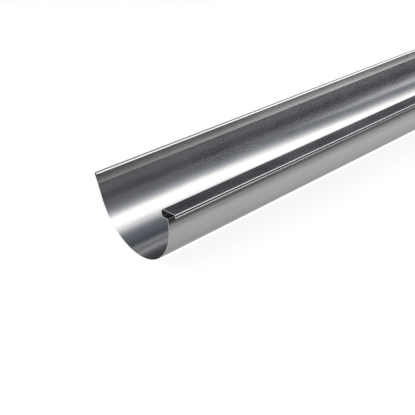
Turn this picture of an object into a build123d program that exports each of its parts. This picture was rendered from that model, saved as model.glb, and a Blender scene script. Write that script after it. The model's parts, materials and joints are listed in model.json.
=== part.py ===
from build123d import *
import math
import os

# One length of half-round hanging gutter, roll-formed from a single strip of bright
# zinc-coated steel sheet. Its front edge (-Y) is folded into a hollow, flat-topped bead
# that reaches over both sides of the wall and ends in a short lip, kicked out and hemmed.
# Its back wall (+Y) leans out, and is creased into a slightly bowed upstand with an open
# hem. It lies on its round underside, rolled towards the heavier bead until its weight
# is over the line that it rests on. Sizes are in millimetres and degrees.

# Stock
LENGTH = 2000.0
SHEET = 0.6

# Half round, to the outside of the sheet
BODY_RADIUS = 62.5

# Back edge, in the order that the strip is folded: wall, crease, upstand, hem
BACK_LEAN = 11.0
BACK_WALL = 16.4
CREASE_RADIUS = 1.2
CREASE_TURN = 4.4
UPSTAND_RADIUS = 130.0
UPSTAND_TURN = 5.0
BACK_HEM_RADIUS = 2.0
BACK_HEM_TURN = 150.0
BACK_HEM_LEG = 1.5

# Front edge, in the same order: wall, the bead's floor, side and top, lip, kick, hem
FRONT_WALL = 1.0
FLOOR_BEND_RADIUS = 1.2
BEAD_FLOOR = 6.0
BEAD_HEEL_RADIUS = 1.6
BEAD_SIDE = 3.5
BEAD_SHOULDER_RADIUS = 3.3
BEAD_TOP = 18.0
BEAD_NOSE_RADIUS = 1.2
LIP = 0.8
KICK_RADIUS = 0.8
KICK_TURN = 35.0
KICK = 0.5
LIP_HEM_RADIUS = 0.6
LIP_HEM_LEG = 0.8

# Runs and radii are those of the middle of the sheet
MIDDLE_RADIUS = BODY_RADIUS - SHEET / 2

# The half round stops short of the back by as much as the back wall leans
ROUND_TURN = 180.0 - BACK_LEAN


def run(length):
    """A flat of the strip: its length and no turn."""
    return length, 0.0


def bend(radius, turn):
    """A bend of the strip: its radius, and its turn in degrees, to the left if positive."""
    return radius, turn


def corner(radius):
    """A square bend to the left."""
    return bend(radius, 90.0)


# Seen from the left end, with the front on the left, starting where the half round ends
BACK_FOLDS = [
    run(BACK_WALL),
    bend(CREASE_RADIUS, -CREASE_TURN),
    bend(UPSTAND_RADIUS, UPSTAND_TURN),
    bend(BACK_HEM_RADIUS, BACK_HEM_TURN),
    run(BACK_HEM_LEG),
]
FRONT_FOLDS = [
    run(FRONT_WALL),
    bend(FLOOR_BEND_RADIUS, -90.0),
    run(BEAD_FLOOR),
    corner(BEAD_HEEL_RADIUS),
    run(BEAD_SIDE),
    corner(BEAD_SHOULDER_RADIUS),
    run(BEAD_TOP),
    corner(BEAD_NOSE_RADIUS),
    run(LIP),
    bend(KICK_RADIUS, -KICK_TURN),
    run(KICK),
    bend(LIP_HEM_RADIUS, 180.0),
    run(LIP_HEM_LEG),
]


def strip_face(start, heading, left, folds):
    """One face of the strip, where the sheet's middle goes from start through the folds.

    The face lies the distance left to the left of the sheet's middle, so a bend to the
    left is that much tighter on it, and a bend to the right that much wider."""
    edges = []
    point = start + heading.rotate(Axis.Z, 90) * left
    for size, turn in folds:
        if turn > 0:
            edge = JernArc(point, heading, size - left, turn)
        elif turn < 0:
            edge = JernArc(point, heading, size + left, turn)
        else:
            edge = Line(point, point + heading * size)
        edges.append(edge)
        point = edge @ 1
        heading = edge % 1
    return edges


def strip_section():
    """The strip's section, with the half round's centre at the origin."""
    half = SHEET / 2
    middle_round = CenterArc((0, 0), MIDDLE_RADIUS, start_angle=180, arc_size=ROUND_TURN)
    front, front_heading = middle_round @ 0, -(middle_round % 0)
    back, back_heading = middle_round @ 1, middle_round % 1
    outer_back = strip_face(back, back_heading, -half, BACK_FOLDS)
    inner_back = strip_face(back, back_heading, half, BACK_FOLDS)
    outer_front = strip_face(front, front_heading, half, FRONT_FOLDS)
    inner_front = strip_face(front, front_heading, -half, FRONT_FOLDS)
    outer_round = CenterArc((0, 0), MIDDLE_RADIUS + half, start_angle=180, arc_size=ROUND_TURN)
    inner_round = CenterArc((0, 0), MIDDLE_RADIUS - half, start_angle=180, arc_size=ROUND_TURN)
    back_edge = Line(outer_back[-1] @ 1, inner_back[-1] @ 1)
    front_edge = Line(outer_front[-1] @ 1, inner_front[-1] @ 1)
    folds = [*outer_back, *inner_back, *outer_front, *inner_front]
    return make_face([*folds, outer_round, inner_round, back_edge, front_edge])


def lay_down(section):
    """Roll the section about the half round's centre until its weight hangs straight
    below that centre, and set its foot at zero with the middle of its width over zero."""
    weight = section.center(CenterOf.MASS)
    roll = -math.degrees(math.atan2(weight.X, -weight.Y))
    rolled = section.rotate(Axis.Z, roll)
    box = rolled.bounding_box()
    return rolled.translate((-box.center().X, -box.min.Y, 0)), roll


section, roll_angle = lay_down(strip_section())
left_end = Plane((-LENGTH / 2, 0, 0), x_dir=(0, 1, 0), z_dir=(1, 0, 0))
gutter = extrude(left_end * section, LENGTH)

os.makedirs("parts", exist_ok=True)
export_step(gutter, "parts/gutter.step")
print("rolled", round(roll_angle, 3), "degrees towards the bead")
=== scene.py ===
import json
import math

import bpy
import numpy as np
from mathutils import Matrix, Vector
from bpy.props import FloatProperty, FloatVectorProperty, IntProperty, PointerProperty


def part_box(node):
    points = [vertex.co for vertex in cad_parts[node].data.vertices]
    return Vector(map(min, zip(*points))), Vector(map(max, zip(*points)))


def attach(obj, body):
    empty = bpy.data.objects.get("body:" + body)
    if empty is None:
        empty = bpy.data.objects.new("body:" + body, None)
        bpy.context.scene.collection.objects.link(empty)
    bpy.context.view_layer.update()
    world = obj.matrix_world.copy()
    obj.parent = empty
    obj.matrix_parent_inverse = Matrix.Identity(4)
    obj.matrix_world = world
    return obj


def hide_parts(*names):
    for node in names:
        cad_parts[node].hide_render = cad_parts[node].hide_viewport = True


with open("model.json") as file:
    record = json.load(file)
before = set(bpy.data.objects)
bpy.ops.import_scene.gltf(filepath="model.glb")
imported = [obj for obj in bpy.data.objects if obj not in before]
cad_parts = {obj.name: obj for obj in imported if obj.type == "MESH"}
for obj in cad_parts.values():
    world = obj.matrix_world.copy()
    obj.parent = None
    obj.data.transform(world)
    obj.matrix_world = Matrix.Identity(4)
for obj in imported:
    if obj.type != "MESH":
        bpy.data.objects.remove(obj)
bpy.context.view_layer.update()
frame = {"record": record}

bl_info = {
    "name": "Half-Round Gutter",
    "version": (1, 0, 0),
    "blender": (4, 5, 0),
    "location": "View3D > Sidebar > Gutter",
    "description": "One length of bright steel half-round gutter, and a plain studio for it",
    "category": "Object",
}

# The frame gives the lie of the half round: its centre, its radius and the sheet's roll
MOUNTS = {mount["name"]: mount for mount in frame["record"]["mounts"]}
CRADLE = MOUNTS["bracket_cradle"]
CENTRE_Y, CENTRE_Z = CRADLE["pos_m"][1:]
OUTER_RADIUS = CRADLE["dims"]["r_mm"] / 1000
ROLL = math.atan2(-MOUNTS["bead_top"]["axis"][1], MOUNTS["bead_top"]["axis"][2])
NEAR_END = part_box("gutter")[0].x
FAR_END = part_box("gutter")[1].x

MM = 0.001


def length_prop(name, description, millimetres):
    """A length with its default given in millimetres."""
    return FloatProperty(
        name=name, description=description, default=millimetres * MM, unit="LENGTH", precision=5
    )


def angle_prop(name, description, degrees):
    """An angle with its default given in degrees."""
    return FloatProperty(
        name=name, description=description, default=math.radians(degrees), subtype="ANGLE"
    )


def colour_prop(name, description, colour):
    """A linear colour."""
    return FloatVectorProperty(
        name=name, description=description, default=colour, size=3, subtype="COLOR", min=0, max=1
    )


def number_prop(name, description, value):
    """A plain number, such as a share or a strength."""
    return FloatProperty(name=name, description=description, default=value, precision=3)


class GutterSection(bpy.types.PropertyGroup):
    """Sizes of the folded strip. Flats and radii are those of the middle of the sheet."""

    sheet: length_prop("Sheet", "Thickness of the sheet", 0.6)
    back_lean: angle_prop("Back Lean", "Lean of the back wall away from the channel", 11)
    back_wall: length_prop("Back Wall", "Flat above the half round at the back", 16.4)
    crease_radius: length_prop("Crease", "Radius of the crease under the upstand", 1.2)
    crease_turn: angle_prop("Crease Turn", "Turn of the crease away from the channel", 4.4)
    upstand_radius: length_prop("Upstand", "Radius of the upstand's bow", 130)
    upstand_turn: angle_prop("Upstand Turn", "Turn of the bow towards the channel", 5)
    back_hem_radius: length_prop("Back Hem", "Radius of the back edge's open hem", 2)
    back_hem_turn: angle_prop("Back Hem Turn", "How far the back hem is folded over", 150)
    back_hem_leg: length_prop("Back Hem Leg", "Flat that the back hem folds down", 1.5)
    front_wall: length_prop("Front Wall", "Flat above the half round at the front", 1)
    floor_bend: length_prop("Floor Bend", "Radius from the front wall to the bead's floor", 1.2)
    bead_floor: length_prop("Bead Floor", "Flat of the bead's floor", 6)
    heel: length_prop("Heel", "Radius from the bead's floor to its side", 1.6)
    bead_side: length_prop("Bead Side", "Flat of the bead's side, over the channel", 3.5)
    shoulder: length_prop("Shoulder", "Radius from the bead's side to its top", 3.3)
    bead_top: length_prop("Bead Top", "Flat of the bead's top", 18)
    nose: length_prop("Nose", "Radius from the bead's top to its lip", 1.2)
    lip: length_prop("Lip", "Flat of the lip that hangs from the nose", 0.8)
    kick_radius: length_prop("Kick Bend", "Radius of the bend that kicks the lip out", 0.8)
    kick_turn: angle_prop("Kick Turn", "How far the lip is kicked out", 35)
    kick: length_prop("Kick", "Flat of the lip's kick", 0.5)
    lip_hem_radius: length_prop("Lip Hem", "Radius of the lip's hem", 0.6)
    lip_hem_leg: length_prop("Lip Hem Leg", "Flat that the lip's hem folds up", 0.8)
    edge_round: length_prop("Edge Round", "Radius worn on the sheared edges", 0.1)
    wave: length_prop("Wave", "Height of the slow waves that rolling leaves in the flats", 0.12)
    station: length_prop("Station", "Distance between the mesh's sections", 12)
    arc_steps: IntProperty(name="Arc Steps", description="Facets in the half round", default=120)
    bend_steps: IntProperty(
        name="Bend Steps", description="Facets in each square bend", default=10
    )


class SheetFinish(bpy.types.PropertyGroup):
    """Colours and gloss of the bright zinc-coated steel."""

    steel: colour_prop("Steel", "The sheet's reflected colour", (0.42, 0.42, 0.425))
    edge: colour_prop("Sheared Edge", "Reflected colour of the cut edges", (0.55, 0.55, 0.56))
    roughness: number_prop("Roughness", "Roughness of the rolled faces", 0.2)
    streaks: number_prop("Streaks", "Strength of the rolling streaks in the colour", 0.16)
    coarse: number_prop("Coarse Streaks", "Repeats of the coarse streaks in a metre across", 220)
    fine: number_prop("Fine Streaks", "Repeats of the fine streaks in a metre across", 1300)
    streak_depth: length_prop("Streak Depth", "Depth of the fine streaks", 0.003)
    clouds: number_prop("Clouds", "Strength of the slow cloudy change in the colour", 0.10)
    cloud_scale: number_prop("Cloud Scale", "Repeats of the cloudy change in a metre", 14)


class Studio(bpy.types.PropertyGroup):
    """The floor, the lights and the camera."""

    floor: colour_prop("Floor", "Colour of the floor", (0.86, 0.86, 0.86))
    screen: number_prop("Screen", "Brightness of the light screen, as a share", 1.0)
    lens: FloatProperty(
        name="Lens", description="Focal length on a 36 mm sensor", default=54.94, unit="CAMERA"
    )


def settings():
    """The scene's own copies of the three groups of settings."""
    scene = bpy.context.scene
    return scene.gutter_section, scene.gutter_finish, scene.gutter_studio


def new_object(name, data):
    """An object in the scene, with a mesh or a camera as its data."""
    made = bpy.data.objects.new(name, data)
    bpy.context.scene.collection.objects.link(made)
    return made


# Shape

# The rolled sheet's waves: height, radians in a metre along the gutter, radians in a metre
# across the strip, and phase
WAVES = (
    (1.0, 9.1, 31, 0.0),
    (0.6, 23.7, -47, 1.3),
    (0.5, 41.3, 83, 0.4),
    (0.3, 67.9, -22, 2.1),
)

# The map in which the rolling streaks lie
STRIP_MAP = "strip_in_metres"

# In the map that the finish is baked through: a cut end's strip beside the sides, where the
# end's two edges lie across it as shares, and the margin above and below each side
END_STRIP = 0.01
END_EDGES = (0.2, 0.6)
MAP_MARGIN = 0.005


def flat(length, steps):
    """A flat of the strip, in closer steps at its two ends, where bends follow."""
    share = (1 - np.cos(np.linspace(0, np.pi, steps + 1))) / 2
    return np.diff(share) * length, np.zeros(steps)


def bend(radius, turn, steps):
    """A bend of the strip in equal steps, to the left if the turn is positive."""
    return np.full(steps, radius * abs(turn) / steps), np.full(steps, turn / steps)


def corner_stops(radius, clear):
    """Distances from a rounded edge: close ones round it, r (1 - cos a) for even angles a of a
    quarter turn, and one clear of it, given in radii."""
    quarter = np.linspace(0, np.pi / 2, 4)
    return np.append(radius * (1 - np.cos(quarter)), clear * radius)


def edge_flat(length, radius, at_start):
    """A hem's leg, whose free end is stepped as closely as its rounding needs."""
    stops = np.append(corner_stops(radius, 3), length)
    steps = np.diff(stops if at_start else length - stops[::-1])
    return steps, np.zeros(len(steps))


def strip_folds(size):
    """The strip's folds in order, from the lip's hem to the back edge's hem, and how many
    of them come before the half round. A fold is a pair of arrays: step lengths, step turns.
    The last number of a flat or a bend is how many steps it has."""
    square = math.pi / 2
    few = size.bend_steps
    front = [
        edge_flat(size.lip_hem_leg, size.edge_round, True),
        bend(size.lip_hem_radius, -math.pi, 2 * few),
        flat(size.kick, 3),
        bend(size.kick_radius, size.kick_turn, 5),
        flat(size.lip, 3),
        bend(size.nose, -square, few),
        flat(size.bead_top, 9),
        bend(size.shoulder, -square, few),
        flat(size.bead_side, 4),
        bend(size.heel, -square, few),
        flat(size.bead_floor, 4),
        bend(size.floor_bend, square, few),
        flat(size.front_wall, 2),
    ]
    back = [
        flat(size.back_wall, 8),
        bend(size.crease_radius, -size.crease_turn, 3),
        bend(size.upstand_radius, size.upstand_turn, 10),
        bend(size.back_hem_radius, size.back_hem_turn, 2 * few),
        edge_flat(size.back_hem_leg, size.edge_round, False),
    ]
    half_round = bend(OUTER_RADIUS - size.sheet / 2, math.pi - size.back_lean, size.arc_steps)
    return front + [half_round] + back, len(front)


def follow(lengths, turns):
    """The line that a strip's middle follows, from its steps.

    A step of length l that turns by t has the chord l sin(t/2)/(t/2), which points halfway
    between the headings at its two ends. Points are the running sum of the chords."""
    headings = np.concatenate(([0.0], np.cumsum(turns)))
    chords = lengths * np.sinc(turns / (2 * np.pi))
    halfway = headings[:-1] + turns / 2
    moves = chords[:, None] * np.stack((np.cos(halfway), np.sin(halfway)), axis=1)
    points = np.concatenate((np.zeros((1, 2)), np.cumsum(moves, axis=0)))
    return points, headings


def turned(points, angle):
    """Points of the section turned about the origin."""
    c, s = math.cos(angle), math.sin(angle)
    return points @ np.array(((c, s), (-s, c)))


def strip_middle(size):
    """The middle of the sheet in the gutter's own place: points (y, z), the normals on the
    channel's side, and the distance along the strip of each.

    The line is followed from the lip's hem, then turned so that it heads straight down, less
    the roll, where the half round starts, and moved so that the half round's centre is on the
    cradle's axis."""
    folds, before = strip_folds(size)
    lengths, turns = (np.concatenate(side) for side in zip(*folds))
    points, headings = follow(lengths, turns)
    start = sum(len(step_lengths) for step_lengths, _ in folds[:before])
    turn = -math.pi / 2 + ROLL - headings[start]
    points, headings = turned(points, turn), headings + turn
    normals = np.stack((-np.sin(headings), np.cos(headings)), axis=1)
    radius = OUTER_RADIUS - size.sheet / 2
    centre = points[start] + radius * normals[start]
    points = points - centre + (CENTRE_Y, CENTRE_Z)
    return points, normals, np.concatenate(([0.0], np.cumsum(lengths)))


def stations(size):
    """Places of the sections along the gutter: even ones, and close ones at each cut end."""
    end = corner_stops(size.edge_round, 4)
    count = round((FAR_END - NEAR_END) / size.station)
    even = np.linspace(NEAR_END, FAR_END, count + 1)[1:-1]
    return np.concatenate((NEAR_END + end, even, FAR_END - end[::-1]))


def rounding(places, radius):
    """How far a rounded edge stands back from the face, by distance from the nearest end:
    r - sqrt(r^2 - (r - d)^2) within r of the end, and nothing past it."""
    away = np.minimum(places - places[0], places[-1] - places)
    inside = np.clip(radius - away, 0, radius)
    return radius - np.sqrt(radius**2 - inside**2)


def waves(size, along, across):
    """Slow waves of the rolled sheet, always towards the channel: a sum of long sines along
    the gutter whose phases drift across the strip, as a share of the most it could be, squared
    so that it is never negative."""
    x, v = along[:, None], across[None, :]
    total = sum(high * np.sin(a * x + b * v + phase) for high, a, b, phase in WAVES)
    return size.wave * (total / sum(high for high, *_ in WAVES)) ** 2


def closed_sheet(size):
    """The sheet as a grid: the section's closed outline carried along the gutter.

    The outline is the channel's side of the strip and then the outer side the other way, each
    half the sheet's thickness from the middle, less the rounding at the strip's edges and at
    the cut ends, and both moved by the waves. Columns go round it and rows go along."""
    middle, normals, across = strip_middle(size)
    along = stations(size)
    worn = rounding(along, size.edge_round)[:, None] + rounding(across, size.edge_round)
    half = size.sheet / 2 - worn
    lift = waves(size, along, across)
    sides = []
    for sign in (1, -1):
        away = (lift + sign * half)[:, :, None]
        yz = middle + away * normals
        x = np.broadcast_to(along[:, None, None], (*yz.shape[:2], 1))
        sides.append(np.concatenate((x, yz), axis=2))
    return np.concatenate((sides[0], sides[1][:, ::-1]), axis=1), along, across


def quad_corners(grid):
    """Values at the corners of the quads between neighbouring rows and columns of a grid,
    whether they are corner numbers or map coordinates."""
    near, far = grid[:-1], grid[1:]
    corners = np.stack((near[:, :-1], far[:, :-1], far[:, 1:], near[:, 1:]), axis=2)
    return corners.reshape(-1, 4, *grid.shape[2:])


def end_quads(line, near):
    """Corners of the quads that close a cut end, from the values round its outline: rungs
    between the outline's two sides, which run opposite ways."""
    half = len(line) // 2
    quads = quad_corners(np.stack((line[:half], line[::-1][:half])))
    return quads[:, ::-1] if near else quads


def map_grid(rows, columns):
    """Map coordinates (u, v) on a grid, from those of its rows and of its columns."""
    return np.stack(np.meshgrid(rows, columns, indexing="ij"), axis=2)


def metric_map(along, across, sheet):
    """A map in metres: along the gutter, and round the strip's outline. On a cut end, u runs
    through the sheet instead."""
    length = across[-1]
    columns = np.concatenate((across, 2 * length - across[::-1], [2 * length + sheet]))
    through = np.repeat((0.0, sheet), len(across))
    end = np.stack((through, np.concatenate((across, across[::-1]))), axis=1)
    return map_grid(along, columns), end, end


def bake_map(along, across):
    """A map in the unit square: the channel's side in its lower half, the outer side in its
    upper half, and each cut end in a narrow strip beside them."""
    u = np.interp(along, (along[0], along[-1]), (END_STRIP, 1 - END_STRIP))
    share = across / across[-1]
    side = MAP_MARGIN + (0.5 - 2 * MAP_MARGIN) * share
    through = np.repeat(END_EDGES, len(across)) * END_STRIP
    v = MAP_MARGIN + (1 - 2 * MAP_MARGIN) * np.concatenate((share, share[::-1]))
    near = np.stack((through, v), axis=1)
    far = np.stack((1 - through, v), axis=1)
    return map_grid(u, np.concatenate((side, 1 - side[::-1], [1.0]))), near, far


def mesh_from_grid(name, grid, maps):
    """A closed mesh from the grid, with its maps by name, and how many faces its cut ends have.
    A map is its coordinates on the grid, with the first column repeated, and at each end."""
    rows, columns = grid.shape[:2]
    number = np.arange(rows * columns).reshape(rows, columns)
    closed = np.concatenate((number, number[:, :1]), axis=1)
    ends = end_quads(number[0], True), end_quads(number[-1], False)
    faces = np.concatenate((quad_corners(closed), *ends))
    mesh = bpy.data.meshes.new(name)
    mesh.from_pydata(grid.reshape(-1, 3), [], faces)
    mesh.polygons.foreach_set("use_smooth", np.ones(len(faces), bool))
    for label, (sides, near, far) in maps.items():
        ends_mapped = end_quads(near, True), end_quads(far, False)
        corners = np.concatenate((quad_corners(sides), *ends_mapped))
        layer = mesh.uv_layers.new(name=label)
        layer.uv.foreach_set("vector", corners.astype(np.float32).ravel())
    mesh.update()
    return mesh, len(ends[0]) + len(ends[1])


# Finish

FLOAT, VECTOR = "NodeSocketFloat", "NodeSocketVector"

# The rolling streaks' noise: how often it repeats in a metre along the strip, and the share of
# the fine ones beside the coarse
STREAKS = (("Coarse", 2.0), ("Fine", 9.0))
FINE_SHARE = 0.6

# What a streak and a cloud add to the roughness
STREAK_GLOSS = -0.10
CLOUD_GLOSS = 0.12


def new_material(name):
    """A material and its node tree."""
    material = bpy.data.materials.new(name)
    material.use_nodes = True
    return material, material.node_tree


def new_group(name, inputs, outputs):
    """An empty shader node group, with the nodes of its inputs and its outputs. Each socket is
    given as (name, kind)."""
    group = bpy.data.node_groups.new(name, "ShaderNodeTree")
    for in_out, sockets in (("INPUT", inputs), ("OUTPUT", outputs)):
        for label, kind in sockets:
            group.interface.new_socket(label, in_out=in_out, socket_type=kind)
    return group, group.nodes.new("NodeGroupInput"), group.nodes.new("NodeGroupOutput")


def feed(node, values):
    """Gives a node's inputs, by name or number, their values: sockets are linked, others set."""
    for name, value in values.items():
        if isinstance(value, bpy.types.NodeSocket):
            node.id_data.links.new(value, node.inputs[name])
        else:
            node.inputs[name].default_value = value


def group_node(tree, group, values):
    """A placed copy of a node group, with its inputs fed."""
    node = tree.nodes.new("ShaderNodeGroup")
    node.node_tree = group
    feed(node, values)
    return node


def math_node(tree, operation, *values):
    """The result of a Math node, whose inputs are sockets or numbers."""
    node = tree.nodes.new("ShaderNodeMath")
    node.operation = operation
    feed(node, dict(enumerate(values)))
    return node.outputs[0]


def noise_node(tree, values):
    """Noise about zero, half a unit to either side, from a Noise Texture with its inputs fed."""
    noise = tree.nodes.new("ShaderNodeTexNoise")
    feed(noise, values)
    return math_node(tree, "SUBTRACT", noise.outputs[0], 0.5)


def rolling_streaks():
    """A group for the streaks that rolls leave along a sheet: noise drawn out along the
    strip, coarse and fine added together, about zero."""
    group, given, put = new_group(
        "rolling_streaks",
        [("Strip", VECTOR), ("Coarse", FLOAT), ("Fine", FLOAT)],
        [("Streak", FLOAT), ("Fine Streak", FLOAT)],
    )
    apart = group.nodes.new("ShaderNodeSeparateXYZ")
    feed(apart, {0: given.outputs["Strip"]})
    made = []
    for label, repeats in STREAKS:
        along = math_node(group, "MULTIPLY", apart.outputs["X"], repeats)
        across = math_node(group, "MULTIPLY", apart.outputs["Y"], given.outputs[label])
        place = group.nodes.new("ShaderNodeCombineXYZ")
        feed(place, {"X": along, "Y": across})
        look = {"Vector": place.outputs[0], "Scale": 1.0, "Detail": 3.0, "Roughness": 0.6}
        made.append(noise_node(group, look))
    coarse, fine = made
    both = math_node(group, "MULTIPLY_ADD", fine, FINE_SHARE, coarse)
    feed(put, {"Streak": both, "Fine Streak": fine})
    return group


def cloudy_zinc():
    """A group for the slow cloudy change of a bright zinc coat, about zero."""
    group, given, put = new_group(
        "cloudy_zinc", [("Place", VECTOR), ("Scale", FLOAT)], [("Cloud", FLOAT)]
    )
    place, scale = given.outputs["Place"], given.outputs["Scale"]
    look = {"Vector": place, "Scale": scale, "Detail": 4.0, "Roughness": 0.55}
    feed(put, {"Cloud": noise_node(group, look)})
    return group


def steel_material(name, groups, colour, finish):
    """Bright zinc-coated steel: the colour and the roughness follow the streaks and the clouds,
    and the fine streaks stand in relief. The noises run half a unit to either side of zero, so
    their strengths are doubled in the colour."""
    material, tree = new_material(name)
    strip = tree.nodes.new("ShaderNodeUVMap")
    strip.uv_map = STRIP_MAP
    place = tree.nodes.new("ShaderNodeTexCoord")
    streaks = group_node(
        tree,
        groups["streaks"],
        {"Strip": strip.outputs[0], "Coarse": finish.coarse, "Fine": finish.fine},
    )
    clouds = group_node(
        tree,
        groups["clouds"],
        {"Place": place.outputs["Object"], "Scale": finish.cloud_scale},
    )
    streak, cloud = streaks.outputs["Streak"], clouds.outputs["Cloud"]
    tone = math_node(tree, "MULTIPLY_ADD", streak, finish.streaks * 2, 1.0)
    tone = math_node(tree, "MULTIPLY_ADD", cloud, finish.clouds * 2, tone)
    gloss = math_node(tree, "MULTIPLY_ADD", streak, STREAK_GLOSS, finish.roughness)
    gloss = math_node(tree, "MULTIPLY_ADD", cloud, CLOUD_GLOSS, gloss)
    tint = tree.nodes.new("ShaderNodeVectorMath")
    tint.operation = "SCALE"
    feed(tint, {0: colour, "Scale": tone})
    relief = tree.nodes.new("ShaderNodeBump")
    depth = finish.streak_depth
    feed(relief, {"Strength": 1.0, "Distance": depth, "Height": streaks.outputs["Fine Streak"]})
    look = {
        "Metallic": 1.0,
        "Base Color": tint.outputs[0],
        "Roughness": gloss,
        "Normal": relief.outputs[0],
    }
    feed(tree.nodes["Principled BSDF"], look)
    return material


class OBJECT_OT_gutter_sheet(bpy.types.Operator):
    """Make the gutter as one folded sheet of bright steel"""

    bl_idname = "object.gutter_sheet"
    bl_label = "Gutter Sheet"

    def execute(self, context):
        section, finish, _ = settings()
        grid, along, across = closed_sheet(section)
        maps = {
            STRIP_MAP: metric_map(along, across, section.sheet),
            "OFBake": bake_map(along, across),
        }
        mesh, cut_faces = mesh_from_grid("gutter_sheet", grid, maps)
        groups = {"streaks": rolling_streaks(), "clouds": cloudy_zinc()}
        mesh.materials.append(steel_material("bright_steel", groups, tuple(finish.steel), finish))
        mesh.materials.append(steel_material("sheared_edge", groups, tuple(finish.edge), finish))
        slots = np.zeros(len(mesh.polygons), np.int32)
        slots[-cut_faces:] = 1
        mesh.polygons.foreach_set("material_index", slots)
        sheet = new_object("gutter_sheet", mesh)
        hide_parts("gutter")
        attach(sheet, "root")
        return {"FINISHED"}


# Studio

FLOOR_REACH = 60.0
# The light added to the floor, so that it looks white where nothing shades it
FLOOR_GLOW = 0.89

# The sky's light on the floor: white up to one height, dark from another, and its top
SKY_WHITE_TO = math.radians(7)
SKY_DARK_FROM = math.radians(15)
SKY_DARK = (0.12, 0.12, 0.126)
SKY_TOP = (0.152, 0.16, 0.1728)

# The light screen: its distance overhead, how far it runs along, its height off the floor, and
# the name of its points' light
SCREEN_RADIUS = 2.5
SCREEN_REACH = 8.0
SKIRT_LIFT = 0.0005
SCREEN_LIGHT = "light"
# Where its mesh is divided, as runs of (from, to, places): along the gutter and ahead of it in
# metres, and overhead in degrees
ALONG_RUN = (-0.4, 3.0, 69)
AHEAD_RUNS = ((0.010, 0.3, 146), (0.35, 2.4, 42))
RISE_RUN = (0, 180, 361)
# Its level along the floor, by distance in front of the gutter's middle in metres
SKIRT_LEVELS = (
    (0.010, 0.5), (0.025, 0.52), (0.040, 0.74), (0.050, 0.83), (0.070, 0.87), (0.080, 0.63),
    (0.090, 0.5), (0.10, 0.04), (0.20, 0.0), (0.40, 0.0), (0.60, 0.3), (1.0, 2.2), (2.4, 2.3),
)
# Beyond a distance it is dimmer beside the near end: its share, by place along in metres
SKIRT_DIM_FROM = 0.3
SKIRT_DIMMING = ((-0.4, 0.2), (0.2, 1.0))
# Its level overhead, by height over the front horizon in degrees, round to the back
ARCH_LEVELS = (
    (0, 1.2), (4, 0.4), (8, 0.23), (12, 0.4), (16, 0.52), (20, 0.7), (24, 1.1), (28, 1.9),
    (32, 2.65), (36, 2.9), (40, 2.7), (44, 2.5), (48, 2.4), (52, 2.2), (57, 1.65), (63, 1.0),
    (69, 0.42), (75, 0.28), (87, 0.23), (100, 0.1), (106, 0.3), (111, 1.05), (116, 1.25),
    (121, 0.9), (126, 0.25), (132, 0.02), (140, 0.02), (144, 0.2), (150, 0.8), (156, 1.5),
    (161, 1.5), (167, 0.3), (180, 0.0),
)
# Past a place along, the front's levels climb by so many degrees in each metre, for a while
CLIMB_FROM, CLIMB_RATE, CLIMB_REACH = 0.95, 9.0, 2.0
# Heights between which the climb dies out, in degrees
CLIMB_ENDS = (60, 100)
# The overhead light's tint where its level is dim, middling and bright
TINTS = ((0.3, (0.9, 0.97, 1.13)), (1.0, (0.98, 0.995, 1.02)), (2.8, (1.03, 1.0, 0.97)))

# The camera in the section's own directions: along the gutter from its middle, back and up
# from the half round's centre, before the roll
CAMERA_PLACE = (-1.2898, -0.51051, 0.26951)
CAMERA_AHEAD = (0.54096, 0.71732, -0.4391)
CAMERA_UP = (0.35942, 0.27484, 0.89178)
# Its sensor's width in millimetres, and how near and how far it sees in metres
SENSOR_WIDTH = 36.0
CLIP_RANGE = (0.01, 200.0)


def rolled(vector):
    """A vector turned with the gutter's roll."""
    x, y, z = vector
    c, s = math.cos(ROLL), math.sin(ROLL)
    return np.array((x, y * c - z * s, y * s + z * c))


def aim(obj, place, ahead, up):
    """Sets an object at a place, its -Z axis looking ahead and its Y axis up."""
    ahead = ahead / np.linalg.norm(ahead)
    right = np.cross(ahead, up)
    right = right / np.linalg.norm(right)
    up = np.cross(right, ahead)
    matrix = np.eye(4)
    matrix[:3, 0], matrix[:3, 1], matrix[:3, 2], matrix[:3, 3] = right, up, -ahead, place
    obj.matrix_world = Matrix(matrix.tolist())


def make_camera(studio):
    """The photograph's view of the near end."""
    data = bpy.data.cameras.new("camera")
    data.lens = studio.lens
    data.sensor_width = SENSOR_WIDTH
    data.clip_start, data.clip_end = CLIP_RANGE
    camera = new_object("camera", data)
    place = rolled(CAMERA_PLACE) + (0, CENTRE_Y, CENTRE_Z)
    aim(camera, place, rolled(CAMERA_AHEAD), rolled(CAMERA_UP))
    bpy.context.scene.camera = camera


def screen_material():
    """A surface that shines with the light held in its mesh's own attribute. It gives the floor
    none, by way of the sheet either, so that the gutter's soft shadow stays."""
    material, tree = new_material("screen_light")
    tree.nodes.remove(tree.nodes["Principled BSDF"])
    light = tree.nodes.new("ShaderNodeAttribute")
    light.attribute_name = SCREEN_LIGHT
    path = tree.nodes.new("ShaderNodeLightPath")
    undiffused = math_node(tree, "LESS_THAN", path.outputs["Diffuse Depth"], 0.5)
    shine = tree.nodes.new("ShaderNodeEmission")
    feed(shine, {"Color": light.outputs["Color"], "Strength": undiffused})
    feed(tree.nodes["Material Output"], {"Surface": shine.outputs[0]})
    return material


def straight_runs(knots, places):
    """The level at each place, on straight runs between knots of (place, level)."""
    return np.interp(places, *zip(*knots))


def arch_levels(rise, along):
    """The levels overhead, in rows along the gutter and columns round from the front.

    The front's pattern climbs with the distance along, less and less towards the top."""
    climb = CLIMB_RATE * np.clip(along - CLIMB_FROM, 0, CLIMB_REACH)
    return straight_runs(ARCH_LEVELS, rise - climb[:, None] * np.interp(rise, CLIMB_ENDS, (1, 0)))


def tinted(levels):
    """Levels as colours, on straight runs between the tints."""
    marks, tints = zip(*TINTS)
    return np.stack([levels * np.interp(levels, marks, tint) for tint in zip(*tints)], axis=2)


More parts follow.
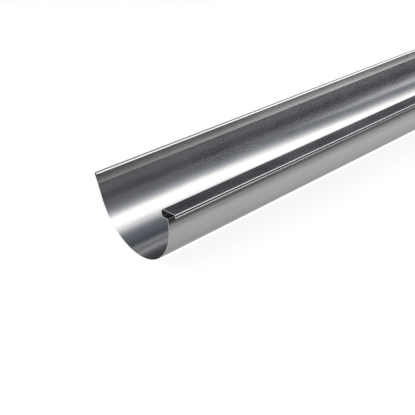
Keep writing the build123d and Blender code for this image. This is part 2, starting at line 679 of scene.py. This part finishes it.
def screen_colours(along, ahead, rise):
    """The screen's light as colours, in rows along the gutter and columns forwards along the
    floor and then overhead."""
    share = np.where(ahead > SKIRT_DIM_FROM, straight_runs(SKIRT_DIMMING, along)[:, None], 1)
    skirt = np.repeat((straight_runs(SKIRT_LEVELS, ahead) * share)[:, :, None], 3, axis=2)
    return np.concatenate((skirt, tinted(arch_levels(rise, along))), axis=1)


def make_screen(studio):
    """The light screen: a long bent sheet that only reflections see. It runs forwards along the
    floor to a radius from the middle, and then overhead in a half circle to the back."""
    along = np.concatenate(([-SCREEN_REACH], np.linspace(*ALONG_RUN), [SCREEN_REACH]))
    ahead = np.concatenate([np.linspace(*run) for run in AHEAD_RUNS])
    rise = np.linspace(*RISE_RUN)
    turn = np.radians(rise)
    y = np.concatenate((-ahead, -SCREEN_RADIUS * np.cos(turn)))
    z = np.concatenate((np.zeros(len(ahead)), SCREEN_RADIUS * np.sin(turn))) + SKIRT_LIFT
    x, y, z = np.broadcast_arrays(along[:, None], y, z)
    grid = np.stack((x, y, z), axis=2)
    number = np.arange(x.size).reshape(x.shape)
    light = screen_colours(along, ahead, rise) * studio.screen
    rgba = np.concatenate((light, np.ones((*x.shape, 1))), axis=2)
    mesh = bpy.data.meshes.new("light_screen")
    mesh.from_pydata(grid.reshape(-1, 3), [], quad_corners(number))
    shine = mesh.attributes.new(SCREEN_LIGHT, "FLOAT_COLOR", "POINT")
    shine.data.foreach_set("color", rgba.astype(np.float32).ravel())
    mesh.materials.append(screen_material())
    screen = new_object("light_screen", mesh)
    screen.visible_camera = False
    screen.visible_diffuse = False
    screen.visible_shadow = False


def seen_rays(tree):
    """1 for the rays that see: from the camera, off a shiny face or through a clear one."""
    rays = tree.nodes.new("ShaderNodeLightPath").outputs
    seen = math_node(tree, "MAXIMUM", rays["Is Camera Ray"], rays["Is Glossy Ray"])
    return math_node(tree, "MAXIMUM", seen, rays["Is Transmission Ray"])


def make_world():
    """Light for the floor, white up to a low height all round and dark above it. To the camera
    and in reflections the whole sky is white."""
    world = bpy.data.worlds.new("studio_world")
    world.use_nodes = True
    tree = world.node_tree
    place = tree.nodes.new("ShaderNodeTexCoord")
    apart = tree.nodes.new("ShaderNodeSeparateXYZ")
    feed(apart, {0: place.outputs["Generated"]})
    ramp = tree.nodes.new("ShaderNodeValToRGB")
    ramp.color_ramp.interpolation = "EASE"
    low, high = ramp.color_ramp.elements
    low.position, low.color = math.sin(SKY_WHITE_TO), (1, 1, 1, 1)
    high.position, high.color = math.sin(SKY_DARK_FROM), (*SKY_DARK, 1)
    top = ramp.color_ramp.elements.new(1.0)
    top.color = (*SKY_TOP, 1)
    feed(ramp, {0: apart.outputs["Z"]})
    whiter = tree.nodes.new("ShaderNodeVectorMath")
    whiter.operation = "MAXIMUM"
    feed(whiter, {0: ramp.outputs[0], 1: seen_rays(tree)})
    feed(tree.nodes["Background"], {"Color": whiter.outputs[0]})
    bpy.context.scene.world = world


def floor_material(colour):
    """A pale floor that looks white where nothing shades it: light of its own is added for
    the camera and for reflections, and the gutter's shadow stays."""
    material, tree = new_material("pale_floor")
    look = {
        "Base Color": (*colour, 1),
        "Roughness": 1.0,
        "Specular IOR Level": 0.0,
        "Emission Color": (1, 1, 1, 1),
        "Emission Strength": math_node(tree, "MULTIPLY", seen_rays(tree), FLOOR_GLOW),
    }
    feed(tree.nodes["Principled BSDF"], look)
    return material


def make_floor(studio):
    """The floor that the gutter lies on."""
    mesh = bpy.data.meshes.new("floor")
    side = np.array((-FLOOR_REACH, FLOOR_REACH))
    x, y = np.meshgrid(side, side)
    corners = np.stack((x, y, np.zeros_like(x)), axis=2).reshape(-1, 3)
    mesh.from_pydata(corners, [], [(0, 1, 3, 2)])
    mesh.materials.append(floor_material(tuple(studio.floor)))
    floor = new_object("floor", mesh)


class SCENE_OT_gutter_studio(bpy.types.Operator):
    """Set the pale floor, the light screen, the world and the camera"""

    bl_idname = "scene.gutter_studio"
    bl_label = "Gutter Studio"

    def execute(self, context):
        _, _, studio = settings()
        make_floor(studio)
        make_world()
        make_screen(studio)
        make_camera(studio)
        context.scene.view_settings.view_transform = "Standard"
        return {"FINISHED"}


class VIEW3D_PT_gutter(bpy.types.Panel):
    """The gutter's sizes and finish, and its studio"""

    bl_idname = "VIEW3D_PT_gutter"
    bl_label = "Half-Round Gutter"
    bl_space_type = "VIEW_3D"
    bl_region_type = "UI"
    bl_category = "Gutter"

    def draw(self, context):
        layout = self.layout
        parts = (
            ("object.gutter_sheet", context.scene.gutter_section),
            (None, context.scene.gutter_finish),
            ("scene.gutter_studio", context.scene.gutter_studio),
        )
        for operator, group in parts:
            box = layout.box()
            for name in group.__annotations__:
                box.prop(group, name)
            if operator:
                box.operator(operator)


CLASSES = (
    GutterSection,
    SheetFinish,
    Studio,
    OBJECT_OT_gutter_sheet,
    SCENE_OT_gutter_studio,
    VIEW3D_PT_gutter,
)


def register():
    for cls in CLASSES:
        bpy.utils.register_class(cls)
    bpy.types.Scene.gutter_section = PointerProperty(type=GutterSection)
    bpy.types.Scene.gutter_finish = PointerProperty(type=SheetFinish)
    bpy.types.Scene.gutter_studio = PointerProperty(type=Studio)


def unregister():
    del bpy.types.Scene.gutter_studio
    del bpy.types.Scene.gutter_finish
    del bpy.types.Scene.gutter_section
    for cls in reversed(CLASSES):
        bpy.utils.unregister_class(cls)


def main():
    register()
    bpy.ops.object.gutter_sheet()
    bpy.ops.scene.gutter_studio()


if __name__ == "__main__":
    main()
